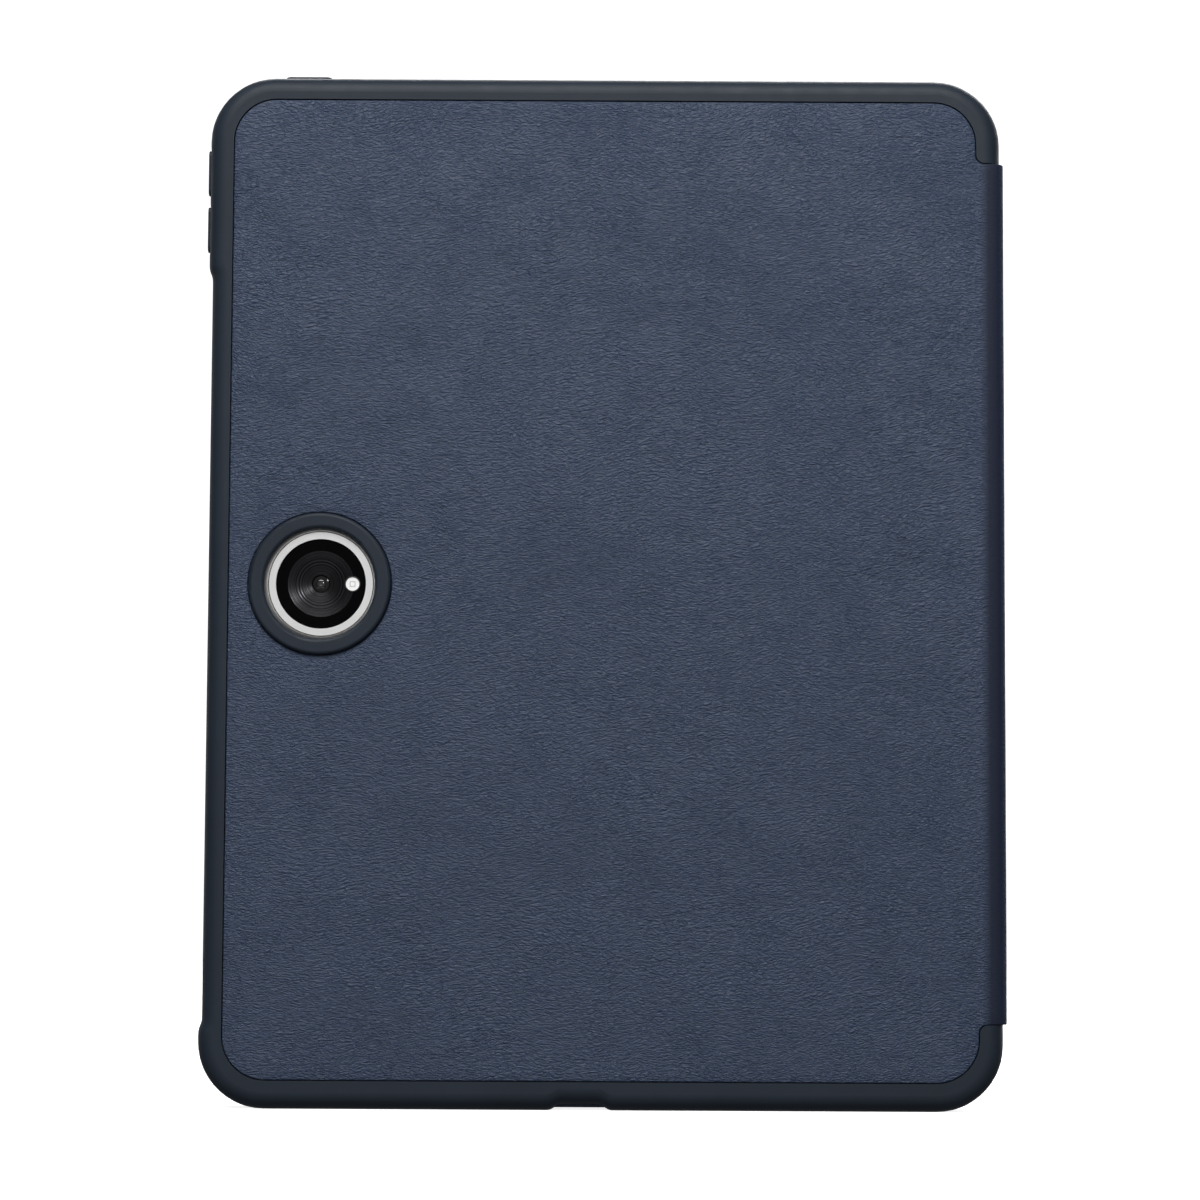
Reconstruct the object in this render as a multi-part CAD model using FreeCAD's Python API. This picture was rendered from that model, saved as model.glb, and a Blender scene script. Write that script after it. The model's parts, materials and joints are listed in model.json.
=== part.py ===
"""Folio keyboard case for a 12 inch tablet, closed, standing on its short edge with the tablet inside.

X runs across the width (the spine is at +X), Y through the thickness (the back faces -Y, the front
cover +Y) and Z up the height. Lengths are in millimetres. The model is drawn with the bumper's back
rim at y = 0 and is moved so that the origin is the bottom centre of its box when it is saved.
"""
import FreeCAD, Part
import math
import os
from FreeCAD import Vector

# ---- driving dimensions: bumper shell -----------------------------------------------------------
shell_width = 202.4
shell_height = 262.8
shell_depth = 9.9
shell_corner = 16.8
shell_back_round = 4.2
shell_front_round = 1.6
lip_overlap = 1.7
lip_thickness = 0.95
floor_thickness = 0.8

recess_depth = 0.9          # long shallow stylus recess in the left side
recess_low, recess_high = 18.5, 214.0
recess_ramp = 4.5

port_x = -5.2               # charging port notch in the bottom wall
port_notch_half, port_flat_half, port_notch_depth = 8.4, 4.4, 1.35
port_slot_half_x, port_slot_half_y = 6.2, 3.0

speaker_x, speaker_half, speaker_half_y = 33.5, 9.5, 1.1

# ---- driving dimensions: leather, boards, hinge strips ------------------------------------------
panel_side = 95.0           # half width of the back panel
panel_low, panel_high = 7.15, 256.7
panel_corner = 11.0
groove = 0.2                # dark gap all round the back panel
leather_back_y = 0.25
leather_thickness = 0.85
back_board_thickness = 0.5
finger_length = 21.8        # corner fingers that hold the spine side
finger_gap = 0.4
finger_round = 2.0
spine_outer_x = 102.1
spine_wall_x = 99.8

cover_thickness = 2.4
cover_back_y = 16.0
cover_corner = 16.8
cover_leather = 0.7
lining_thickness = 0.5
fold_half_gap = 1.6
hinge_inset = 1.2           # side hinge axes lie this far under the leather
fold_inset = 0.8            # panel fold axes lie this far under the leather

# ---- driving dimensions: tablet -----------------------------------------------------------------
tablet_half_width = 98.0
tablet_low, tablet_high = 3.2, 259.6
tablet_corner = 13.9
tablet_back_y, tablet_front_y = 2.45, 8.9
fit_gap = 0.15
camera_x, camera_z = -71.4, 132.0
trim_outer_r, trim_flat_r, trim_inner_r, trim_back_y = 14.45, 13.45, 11.4, 0.5
lens_r, flash_r, flash_offset = 2.2, 1.8, 8.0
selfie_x, selfie_r = -93.3, 1.35

# ---- driving dimensions: camera guard -----------------------------------------------------------
guard_x = -71.7             # the guard sits a little off the camera's own centre
guard_outer_r, guard_inner_r, guard_back_y = 18.05, 14.1, -1.0
guard_relief_r, guard_overhang_y = 14.95, 0.35

# ---- driving dimensions: button covers ----------------------------------------------------------
button_length, button_width = 11.8, 3.0
button_proud = 0.6
button_mid_y = 5.6
power_x = -76.3
volume_up_z, volume_down_z = 238.2, 223.5
button_inner_gap = 0.75     # from the tablet's side to the inner end of a cover
well_margin, well_depth, well_width = 2.0, 0.35, 5.2
button_gap = 0.3            # between a cover and its slot
button_travel_room = 0.6
tablet_button_proud = 0.4

# ---- driving dimensions: keyboard ---------------------------------------------------------------
keyboard_depth = 118.4
keyboard_width = 250.0
keyboard_left_x = -93.4
keyboard_corner = 7.0
key_top_y = 10.3
deck_y = 11.8
deck_thickness = 1.0
keyboard_back_y = 15.9
wall = 1.0
key_unit = 16.0             # key pitch along a row
row_pitch = 17.6
function_row_pitch = 12.0
key_gap = 2.6
key_height = 1.7
key_margin_x = 9.0
key_clearance = 0.35

# ---- derived places -----------------------------------------------------------------------------
half_width = shell_width / 2
cover_front_y = cover_back_y + cover_thickness
hinge_x = spine_outer_x - hinge_inset
back_hinge_y = leather_back_y + hinge_inset
front_hinge_y = cover_front_y - hinge_inset
panel_pitch = (hinge_x + half_width - 0.2) / 3
fold_inner_x = hinge_x - panel_pitch
fold_outer_x = hinge_x - 2 * panel_pitch
cover_left_x = hinge_x - 3 * panel_pitch
spine_low, spine_high = finger_length, shell_height - finger_length
floor_y = leather_back_y + leather_thickness + back_board_thickness
keyboard_right_x = keyboard_left_x + keyboard_depth
keyboard_low = (shell_height - keyboard_width) / 2
keyboard_high = keyboard_low + keyboard_width

box_left = -half_width - button_proud
box_back, box_front = guard_back_y, cover_front_y
origin = Vector((box_left + spine_outer_x) / 2, (box_back + box_front) / 2, 0)


# ---- helpers ------------------------------------------------------------------------------------
def save(name, *solids):
    """Write one node; several solids make a group in one file."""
    shape = solids[0] if len(solids) == 1 else Part.makeCompound(list(solids))
    shape = shape.copy()
    shape.translate(-origin)
    shape.exportStep(f"parts/{name}.step")


def rounded_wire(x0, x1, z0, z1, radius):
    """Closed rounded rectangle in the XZ plane."""
    corners = [Vector(x0, 0, z0), Vector(x1, 0, z0), Vector(x1, 0, z1), Vector(x0, 0, z1)]
    radii = radius if isinstance(radius, tuple) else (radius,) * 4
    edges, previous = [], None
    for i, corner in enumerate(corners):
        way_in = (corner - corners[i - 1]).normalize()
        way_out = (corners[(i + 1) % 4] - corner).normalize()
        start, end = corner - way_in * radii[i], corner + way_out * radii[i]
        if previous is None:
            first = start
        else:
            edges.append(Part.LineSegment(previous, start).toShape())
        if radii[i] > 0:
            centre = start + way_out * radii[i]
            middle = centre + (way_in - way_out).normalize() * radii[i]
            edges.append(Part.Arc(start, middle, end).toShape())
        previous = end
    edges.append(Part.LineSegment(previous, first).toShape())
    return Part.Wire(edges)


def slab(x0, x1, z0, z1, y0, y1, radius=0.0):
    """Plate between y0 and y1 with rounded corners."""
    face = Part.Face(rounded_wire(x0, x1, z0, z1, radius))
    face.translate(Vector(0, y0, 0))
    return face.extrude(Vector(0, y1 - y0, 0))


def round_rim(solid, y, radius):
    """Fillet every edge that lies in the plane at this y."""
    rim = [e for e in solid.Edges if all(abs(v.Y - y) < 1e-6 for v in e.Vertexes)]
    return solid.makeFillet(radius, rim)


def disc(x, z, y0, y1, radius):
    return Part.makeCylinder(radius, y1 - y0, Vector(x, y0, z), Vector(0, 1, 0))


def s_curve(start, end, along_x):
    """Smooth step between two points, leaving and arriving along one axis."""
    half = (end - start) * 0.5
    run = Vector(half.x, 0, 0) if along_x else Vector(0, 0, half.z)
    curve = Part.BezierCurve()
    curve.setPoles([start, start + run, end - run, end])
    return curve.toShape()


def upright_pill(x, z, length, width, depth, along_x):
    """Rounded bar of the given length; it is centred on y = button_mid_y."""
    if along_x:
        wire = rounded_wire(x - length / 2, x + length / 2, -width / 2, width / 2, width * 0.499)
        bar = Part.Face(wire).extrude(Vector(0, depth, 0))
        bar.rotate(Vector(0, 0, 0), Vector(1, 0, 0), 90)
        bar.translate(Vector(0, button_mid_y, z))
    else:
        wire = rounded_wire(-width / 2, width / 2, z - length / 2, z + length / 2, width * 0.499)
        bar = Part.Face(wire).extrude(Vector(0, depth, 0))
        bar.rotate(Vector(0, 0, 0), Vector(0, 0, 1), -90)
        bar.translate(Vector(x, button_mid_y, 0))
    return bar


# ---- bumper shell -------------------------------------------------------------------------------
def shell_wire():
    """Outer outline with the long recess on the left and the port notch at the bottom."""
    left, right, top, r = -half_width, half_width, shell_height, shell_corner
    diagonal = r * (1 - math.sqrt(0.5))
    inner = left + recess_depth
    p = Vector
    return Part.Wire([
        Part.LineSegment(p(left + r, 0, 0), p(port_x - port_notch_half, 0, 0)).toShape(),
        s_curve(p(port_x - port_notch_half, 0, 0),
                p(port_x - port_flat_half, 0, port_notch_depth), True),
        Part.LineSegment(p(port_x - port_flat_half, 0, port_notch_depth),
                         p(port_x + port_flat_half, 0, port_notch_depth)).toShape(),
        s_curve(p(port_x + port_flat_half, 0, port_notch_depth),
                p(port_x + port_notch_half, 0, 0), True),
        Part.LineSegment(p(port_x + port_notch_half, 0, 0), p(right - r, 0, 0)).toShape(),
        Part.Arc(p(right - r, 0, 0), p(right - diagonal, 0, diagonal), p(right, 0, r)).toShape(),
        Part.LineSegment(p(right, 0, r), p(right, 0, top - r)).toShape(),
        Part.Arc(p(right, 0, top - r), p(right - diagonal, 0, top - diagonal),
                 p(right - r, 0, top)).toShape(),
        Part.LineSegment(p(right - r, 0, top), p(left + r, 0, top)).toShape(),
        Part.Arc(p(left + r, 0, top), p(left + diagonal, 0, top - diagonal),
                 p(left, 0, top - r)).toShape(),
        Part.LineSegment(p(left, 0, top - r), p(left, 0, recess_high)).toShape(),
        s_curve(p(left, 0, recess_high), p(inner, 0, recess_high - recess_ramp), False),
        Part.LineSegment(p(inner, 0, recess_high - recess_ramp),
                         p(inner, 0, recess_low + recess_ramp)).toShape(),
        s_curve(p(inner, 0, recess_low + recess_ramp), p(left, 0, recess_low), False),
        Part.LineSegment(p(left, 0, recess_low), p(left, 0, r)).toShape(),
        Part.Arc(p(left, 0, r), p(left + diagonal, 0, diagonal), p(left + r, 0, 0)).toShape(),
    ])


def panel_plate(y0, y1, inset, right_x):
    """The back panel's outline, with the tongue that runs out to the spine between the fingers."""
    plate = slab(-panel_side + inset, panel_side - inset, panel_low + inset, panel_high - inset,
                 y0, y1, panel_corner - inset)
    tongue = slab(panel_side - 20, right_x, spine_low + inset, spine_high - inset, y0, y1)
    plate = plate.fuse(tongue).removeSplitter()

    def at_notch(point):
        ends = (spine_low + inset, spine_high - inset)
        return abs(point.X - panel_side + inset) < 1e-6 and min(abs(point.Z - z) for z in ends) < 1e-6

    notches = [e for e in plate.Edges if all(at_notch(v) for v in e.Vertexes)
               and abs(e.Vertexes[0].Z - e.Vertexes[-1].Z) < 1e-6]
    return plate.makeFillet(finger_round, notches)


def side_slots():
    """Cut-outs through the side walls: speakers, port plug and the button covers."""
    cuts = []
    through, outside = 8.0, 2.0
    for side in (-1, 1):
        for z in (-outside, shell_height + outside - through):
            near = Vector(side * speaker_x - speaker_half, button_mid_y - speaker_half_y, z)
            cuts.append(Part.makeBox(2 * speaker_half, 2 * speaker_half_y, through, near))
    cuts.append(Part.makeBox(2 * port_slot_half_x, 2 * port_slot_half_y, through,
                             Vector(port_x - port_slot_half_x, button_mid_y - port_slot_half_y, -outside)))
    slot, width = button_length + 2 * button_gap, button_width + 2 * button_gap
    well = button_length + 2 * well_margin
    reach = 5.0             # how far the cutting bars start outside the wall
    cuts.append(upright_pill(power_x, shell_height - reach, slot, width, 12, True))
    for z in (volume_up_z, volume_down_z):
        cuts.append(upright_pill(-half_width - reach, z, slot, width, 12, False))
        cuts.append(upright_pill(-half_width - reach, z, well, well_width, reach + well_depth, False))
    return cuts


def bumper_shell():
    body = Part.Face(shell_wire()).extrude(Vector(0, shell_depth, 0))
    body = round_rim(body, 0, shell_back_round)
    body = round_rim(body, shell_depth, shell_front_round)
    pocket = slab(-tablet_half_width - fit_gap, tablet_half_width + fit_gap, tablet_low - fit_gap,
                  tablet_high + fit_gap, floor_y + floor_thickness, shell_depth - lip_thickness,
                  tablet_corner + fit_gap)
    edge = lip_overlap
    window = slab(-tablet_half_width + edge, tablet_half_width - edge, tablet_low + edge, tablet_high - edge,
                  shell_depth - 2 * lip_thickness, shell_depth + 5, tablet_corner - edge)
    spine_side = Part.makeBox(20, 40, spine_high - spine_low, Vector(spine_wall_x, -10, spine_low))
    panel_bed = panel_plate(-5, floor_y, 0, spine_wall_x + 5)
    body = body.cut([pocket, window, spine_side, panel_bed] + side_slots())
    guard = disc(guard_x, camera_z, guard_back_y, floor_y + floor_thickness, guard_outer_r)
    guard = guard.cut(disc(guard_x, camera_z, -5, 5, guard_inner_r))
    guard = round_rim(guard, guard_back_y, 0.9)
    body = body.cut(disc(guard_x, camera_z, -5, 5, guard_outer_r - 1)).fuse(guard)
    return body.cut(disc(camera_x, camera_z, guard_overhang_y, 5, guard_relief_r)).removeSplitter()


def button_covers():
    inner = tablet_high + button_inner_gap
    depth = shell_height + button_proud - inner
    power = upright_pill(power_x, inner, button_length, button_width, depth, True)
    save("power_button_cover", round_top(power, "Z", shell_height + button_proud))
    left = -half_width - button_proud
    depth = -tablet_half_width - button_inner_gap - left
    for name, z in (("volume_up_cover", volume_up_z), ("volume_down_cover", volume_down_z)):
        save(name, round_top(upright_pill(left, z, button_length, button_width, depth, False), "X", left))


def round_top(solid, axis, place, radius=0.3):
    rim = [e for e in solid.Edges if all(abs(getattr(v, axis) - place) < 1e-6 for v in e.Vertexes)]
    return solid.makeFillet(radius, rim)


def back_panel():
    hole = disc(guard_x, camera_z, -5, 5, guard_outer_r + groove)
    leather_end = hinge_x - fold_half_gap
    leather = panel_plate(leather_back_y, leather_back_y + leather_thickness, groove, leather_end)
    save("back_leather", leather.cut(hole))
    board = panel_plate(leather_back_y + leather_thickness, floor_y, groove + 0.5, panel_side + 1.5)
    save("back_board", board.cut(hole))


# ---- tablet -------------------------------------------------------------------------------------
def tablet_slab(inset, y0, y1):
    side = tablet_half_width - inset
    return slab(-side, side, tablet_low + inset, tablet_high - inset, y0, y1, tablet_corner - inset)


def tablet_button(x, z, along_x, clearance=0.0, room=0.0):
    """One of the tablet's own keys, or its pocket in the housing with a clearance and room to travel."""
    length, width = 8.0 + 2 * clearance, 1.8 + 2 * clearance
    sunk = 1.2 + room
    if along_x:
        return upright_pill(x, tablet_high - sunk, length, width, sunk + tablet_button_proud, True)
    return upright_pill(-tablet_half_width - tablet_button_proud, z, length, width,
                        sunk + tablet_button_proud, False)


def tablet():
    housing = tablet_slab(0, tablet_back_y, tablet_front_y)
    housing = round_rim(housing, tablet_back_y, 1.0)
    housing = housing.cut(tablet_slab(2.6, tablet_back_y + 0.9, tablet_front_y + 1))
    housing = housing.cut(tablet_slab(1.0, tablet_front_y - 0.7, tablet_front_y + 1))
    cuts = [disc(camera_x, camera_z, 0, 5, trim_outer_r + 0.1),
            Part.makeBox(9.2, 3.4, 6, Vector(port_x - 4.6, button_mid_y - 1.7, tablet_low - 1)),
            tablet_button(power_x, 0, True, 0.2, button_travel_room),
            tablet_button(0, volume_up_z, False, 0.2, button_travel_room),
            tablet_button(0, volume_down_z, False, 0.2, button_travel_room)]
    save("tablet_housing", housing.cut(cuts))
    selfie = disc(selfie_x, camera_z, 0, 20, selfie_r + 0.05)
    save("tablet_screen_glass", tablet_slab(1.05, tablet_front_y - 0.65, tablet_front_y).cut(selfie))
    save("tablet_display", tablet_slab(7.0, tablet_front_y - 1.9, tablet_front_y - 0.75))
    save("tablet_front_camera",
         disc(selfie_x, camera_z, tablet_front_y - 3.5, tablet_front_y - 0.05, selfie_r))
    cells = [slab(x, x + 58, 34, 228, 3.6, 6.6, 3) for x in (-40.0, 22.0)]
    save("tablet_battery", *cells)
    save("tablet_mainboard", slab(-90, -46, 168, 240, 3.8, 4.8, 2))
    boxes = [Part.makeBox(16, 3.0, 10, Vector(side * speaker_x - 8, 3.7, z))
             for side in (-1, 1) for z in (tablet_low + 2.8, tablet_high - 12.8)]
    save("tablet_speakers", *boxes)
    port = Part.makeBox(8.8, 3.0, 6.4, Vector(port_x - 4.4, button_mid_y - 1.5, tablet_low + 0.1))
    mouth = Part.makeBox(8.0, 2.2, 5, Vector(port_x - 4.0, button_mid_y - 1.1, tablet_low))
    tongue = Part.makeBox(6.4, 0.7, 4.4, Vector(port_x - 3.2, button_mid_y - 0.35, tablet_low + 0.8))
    save("tablet_charging_port", port.cut(mouth).fuse(tongue))
    save("tablet_power_button", tablet_button(power_x, 0, True))
    save("tablet_volume_up_button", tablet_button(0, volume_up_z, False))
    save("tablet_volume_down_button", tablet_button(0, volume_down_z, False))


def rear_camera():
    base_y = tablet_back_y + 0.9
    line_y, slope_y = trim_back_y + 0.3, trim_back_y + 1.2
    section = Part.makePolygon([Vector(trim_inner_r, base_y, 0), Vector(trim_inner_r, trim_back_y, 0),
                                Vector(trim_flat_r, trim_back_y, 0), Vector(trim_flat_r, line_y, 0),
                                Vector(trim_flat_r + 0.15, line_y, 0),
                                Vector(trim_flat_r + 0.15, trim_back_y + 0.15, 0),
                                Vector(trim_outer_r, slope_y, 0), Vector(trim_outer_r, base_y, 0),
                                Vector(trim_inner_r, base_y, 0)])
    trim = Part.Face(section).revolve(Vector(0, 0, 0), Vector(0, 1, 0), 360)
    trim.translate(Vector(camera_x, 0, camera_z))
    save("camera_trim_ring", trim)
    window = disc(camera_x, camera_z, trim_back_y + 0.25, trim_back_y + 1.05, trim_inner_r - 0.02)
    lens_hole = disc(camera_x, camera_z, -5, 5, lens_r + 0.02)
    flash_hole = disc(camera_x + flash_offset, camera_z, -5, 5, flash_r + 0.02)
    save("camera_window", window.cut([lens_hole, flash_hole]))
    ball_r = 9.0
    dome_y = trim_back_y + 0.3
    dome = Part.makeSphere(ball_r, Vector(camera_x, dome_y + ball_r, camera_z))
    save("camera_lens", dome.common(disc(camera_x, camera_z, dome_y - 1, dome_y + 1.4, lens_r)))
    flash = disc(camera_x + flash_offset, camera_z, trim_back_y + 0.3, trim_back_y + 1.3, flash_r)
    save("camera_flash", flash)
    module = disc(camera_x, camera_z, trim_back_y + 1.75, tablet_front_y - 2.2, 4.6)
    save("camera_module", module.fuse(Part.makeBox(11, 3.2, 11, Vector(camera_x - 5.5, 3.5, camera_z - 5.5))))


# ---- spine and front cover ----------------------------------------------------------------------
def spine():
    low, high = spine_low + finger_gap, spine_high - finger_gap
    y0, y1 = back_hinge_y + fold_half_gap, front_hinge_y - fold_half_gap
    sheet_x = [spine_outer_x, spine_outer_x - 0.7, spine_outer_x - 1.3, spine_outer_x - 1.8]
    for i, name in enumerate(("spine_leather", "spine_board", "spine_lining")):
        inset = 0.4 * (i == 1)
        save(name, Part.makeBox(sheet_x[i] - sheet_x[i + 1], y1 - y0 - 2 * inset, high - low - 2 * inset,
                                Vector(sheet_x[i + 1], y0 + inset, low + inset)))


def magnet_bars(x, zs, length, width, y0, y1):
    return [slab(x - width / 2, x + width / 2, z - length / 2, z + length / 2, y0, y1, 0.5) for z in zs]


def cover_panel(letter, x0, x1, left_corner, right_corner, magnets=()):
    """Leather tray round a stiff board, closed by the lining on the inner side."""
    corner = (left_corner, right_corner, right_corner, left_corner)
    board_y = cover_front_y - cover_leather
    skin = slab(x0, x1, 0, shell_height, cover_back_y + 0.3, cover_front_y, corner)
    skin = round_rim(skin, cover_front_y, 0.5)

    def inner(inset, y0, y1):
        inside = tuple(max(c - inset, 0.0) for c in corner)
        return slab(x0 + inset, x1 - inset, inset, shell_height - inset, y0, y1, inside)

    save(f"cover_leather_{letter}", skin.cut(inner(cover_leather, 0, board_y)))
    board = inner(cover_leather + 0.1, cover_back_y + lining_thickness, board_y - 0.02)
    if magnets:
        board = board.cut(list(magnets))
    save(f"cover_board_{letter}", board)
    save(f"cover_lining_{letter}", inner(cover_leather + 0.1, cover_back_y, cover_back_y + lining_thickness))


def front_cover():
    g = fold_half_gap
    y0, y1 = cover_back_y + lining_thickness, cover_front_y - cover_leather - 0.02
    hold = (fold_inner_x + fold_outer_x) / 2
    mid = shell_height / 2
    grip = magnet_bars(hold, (mid - 95, mid - 35, mid + 35, mid + 95), 18, 8, y0, y1)
    close = magnet_bars(cover_left_x + 8, (mid - 70, mid, mid + 70), 24, 6, y0, y1)
    cover_panel("inner", fold_inner_x + g, hinge_x - g, 0.0, cover_corner)
    cover_panel("middle", fold_outer_x + g, fold_inner_x - g, 0.0, 0.0, grip)
    cover_panel("outer", cover_left_x, fold_outer_x - g, cover_corner, 0.0, close)
    save("cover_keyboard_magnets", *grip)
    save("cover_closure_magnets", *close)


# ---- keyboard -----------------------------------------------------------------------------------
def key_rows():
    """Row name, the row's near edge in X, its pitch, and the key widths in units from the low end."""
    widths = {
        "function": [15 / 14] * 14,
        "number": [1.0] * 13 + [2.0],
        "upper": [1.5] + [1.0] * 12 + [1.5],
        "home": [1.75] + [1.0] * 11 + [2.25],
        "lower": [2.25] + [1.0] * 10 + [2.75],
        "space": [1.0, 1.0, 1.0, 1.25, 5.5, 1.25, 1.0, 1.0, 1.0, 1.0],
    }
    x = keyboard_right_x - key_margin_x
    for name, row in widths.items():
        pitch = function_row_pitch if name == "function" else row_pitch
        yield name, x, pitch, row
        x -= pitch


def key_footprints(name, x, pitch, row):
    """Each key's rectangle (x0, x1, z0, z1). Typed text runs from high Z to low Z."""
    z = shell_height / 2 + key_unit * 7.5
    for width in row:
        yield x - pitch + key_gap / 2, x - key_gap / 2, z - width * key_unit + key_gap / 2, z - key_gap / 2
        z -= width * key_unit


def keycap(x0, x1, z0, z1):
    cap = slab(x0, x1, z0, z1, key_top_y, key_top_y + key_height, 1.6)
    return round_rim(cap, key_top_y, 0.35)


def keyboard_keys():
    """Save the caps row by row, the space bar on its own, and return the deck's key holes."""
    holes = []
    c = key_clearance
    for name, x, pitch, row in key_rows():
        caps = []
        for width, (x0, x1, z0, z1) in zip(row, key_footprints(name, x, pitch, row)):
            holes.append(slab(x0 - c, x1 + c, z0 - c, z1 + c, deck_y - 1, deck_y + 3, 1.6 + c))
            if width > 5:
                save("space_bar", keycap(x0, x1, z0, z1))
            else:
                caps.append(keycap(x0, x1, z0, z1))
        save(f"{name}_row_keycaps", *caps)
    return holes


def keyboard():
    x0, x1, z0, z1 = keyboard_left_x, keyboard_right_x, keyboard_low, keyboard_high
    split_y = deck_y + deck_thickness
    deck = slab(x0, x1, z0, z1, deck_y, split_y, keyboard_corner)
    deck = round_rim(deck, deck_y, 0.4)
    led_z = [z1 - 40 - 5 * i for i in range(3)]
    led_x = x1 - 4.5
    leds = [disc(led_x, z, deck_y + 0.05, split_y - 0.02, 0.6) for z in led_z]
    led_holes = [disc(led_x, z, deck_y - 1, split_y + 1, 0.62) for z in led_z]
    save("keyboard_deck", deck.cut(keyboard_keys() + led_holes))
    save("keyboard_status_lights", *leds)

    base = slab(x0, x1, z0, z1, split_y, keyboard_back_y, keyboard_corner)
    base = round_rim(base, keyboard_back_y, 0.8)
    base = base.cut(slab(x0 + wall, x1 - wall, z0 + wall, z1 - wall, split_y - 1, keyboard_back_y - wall,
                         keyboard_corner - wall))
    switch_z, port_z = z1 - 32, z0 + 30
    magnet_x = (fold_inner_x + fold_outer_x) / 2
    mid = shell_height / 2
    magnets = magnet_bars(magnet_x, (mid - 95, mid - 35, mid + 35, mid + 95), 17.5, 7.5,
                          keyboard_back_y - wall + 0.35, keyboard_back_y - 0.15)
    screw_at = [(x, z) for x in (x0 + 5, x1 - 5.2) for z in (z0 + 8, mid, z1 - 8)]
    screws = [disc(x, z, split_y + 0.1, keyboard_back_y - 0.2, 0.9)
              .fuse(disc(x, z, keyboard_back_y - 0.8, keyboard_back_y - 0.2, 1.7)) for x, z in screw_at]
    posts = [disc(x, z, split_y, keyboard_back_y - 0.5, 2.2) for x, z in screw_at]
    screw_holes = [disc(x, z, split_y - 1, keyboard_back_y + 1, 0.92) for x, z in screw_at]
    counterbores = [disc(x, z, keyboard_back_y - 0.82, keyboard_back_y + 1, 1.75) for x, z in screw_at]
    magnet_beds = magnet_bars(magnet_x, (mid - 95, mid - 35, mid + 35, mid + 95), 17.6, 7.6,
                              keyboard_back_y - wall + 0.33, keyboard_back_y + 1)
    slots = [Part.makeBox(4, 1.5, 6.4, Vector(x1 - 2, split_y + 0.6, switch_z - 3.2)),
             Part.makeBox(4, 1.95, 8.6, Vector(x1 - 2, split_y + 0.1, port_z - 4.3))]
    base = base.fuse(posts).cut(screw_holes + counterbores + magnet_beds + slots)
    save("keyboard_base", base.removeSplitter())
    save("keyboard_magnets", *magnets)
    save("keyboard_screws", *screws)

    knob = Part.makeBox(2.4, 0.9, 2.6, Vector(x1 - 2.0, split_y + 0.9, switch_z - 2.9))
    save("keyboard_power_switch", knob)
    port = Part.makeBox(6.6, 1.85, 8.4, Vector(x1 - 6.8, split_y + 0.15, port_z - 4.2))
    mouth = Part.makeBox(5.0, 1.35, 7.8, Vector(x1 - 4.6, split_y + 0.4, port_z - 3.9))
    save("keyboard_charging_port", port.cut(mouth))
    save("keyboard_battery", slab(x1 - key_margin_x + 1.3, x1 - 2.3, mid - 84, mid - 4, split_y + 0.1,
                                  keyboard_back_y - wall - 0.1, 0.8))
    keys_right = x1 - key_margin_x
    contact_sheet = slab(x0 + 8, keys_right, z0 + 3, z1 - 3, split_y + 1.0, split_y + 1.3, 2)
    save("keyboard_membrane", contact_sheet)
    circuit = slab(x1 - 7.4, x1 - 4.2, mid + 62, mid + 86, split_y + 0.4, split_y + 1.2, 0.4)
    save("keyboard_circuit_board", circuit)


os.makedirs("parts", exist_ok=True)
save("bumper_shell", bumper_shell())
button_covers()
back_panel()
tablet()
rear_camera()
spine()
front_cover()
keyboard()
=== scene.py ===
"""Looks of a folio keyboard case for a tablet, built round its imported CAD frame.

The case stands on its short edge with its back towards -Y. Lengths are in millimetres in the CAD frame,
and are scaled by MM where they go to Blender. The studio alone is in metres.
"""
import bisect
import json
import math

import bpy
import numpy as np
from mathutils import Matrix, Vector, noise
from mathutils.geometry import delaunay_2d_cdt


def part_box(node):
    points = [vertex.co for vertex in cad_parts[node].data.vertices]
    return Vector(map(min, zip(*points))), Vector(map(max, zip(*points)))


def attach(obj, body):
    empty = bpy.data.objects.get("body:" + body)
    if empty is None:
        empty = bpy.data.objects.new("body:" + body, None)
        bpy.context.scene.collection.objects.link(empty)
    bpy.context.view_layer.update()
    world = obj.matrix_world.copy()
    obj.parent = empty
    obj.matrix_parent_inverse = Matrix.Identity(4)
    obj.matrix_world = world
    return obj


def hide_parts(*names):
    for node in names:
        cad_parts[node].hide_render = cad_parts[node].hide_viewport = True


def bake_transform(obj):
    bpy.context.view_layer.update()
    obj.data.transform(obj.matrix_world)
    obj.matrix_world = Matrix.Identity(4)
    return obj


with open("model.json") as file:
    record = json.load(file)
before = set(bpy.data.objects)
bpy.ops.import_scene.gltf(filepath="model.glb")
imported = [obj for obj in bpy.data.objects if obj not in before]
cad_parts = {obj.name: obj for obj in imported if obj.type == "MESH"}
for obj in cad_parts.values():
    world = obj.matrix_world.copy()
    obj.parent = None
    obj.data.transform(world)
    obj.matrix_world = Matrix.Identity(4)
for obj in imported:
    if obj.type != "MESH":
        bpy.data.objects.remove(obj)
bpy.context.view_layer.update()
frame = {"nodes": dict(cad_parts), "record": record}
MM = 0.001
scene = bpy.context.scene


def node_box(node):
    """A CAD node's lowest and highest corners, in millimetres."""
    low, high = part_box(node)
    return low / MM, high / MM


# ---- places taken from the CAD frame -------------------------------------------------------------
back_low, back_high = node_box("back_leather")
spine_low, spine_high = node_box("spine_leather")
inner_low, inner_high = node_box("cover_leather_inner")
middle_low, middle_high = node_box("cover_leather_middle")
outer_low, outer_high = node_box("cover_leather_outer")
lining_low, lining_high = node_box("cover_lining_outer")
lining_x = node_box("spine_lining")[0].x
trim_low, trim_high = node_box("camera_trim_ring")
window_y = node_box("camera_window")[0].y
flash_low, flash_high = node_box("camera_flash")

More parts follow.
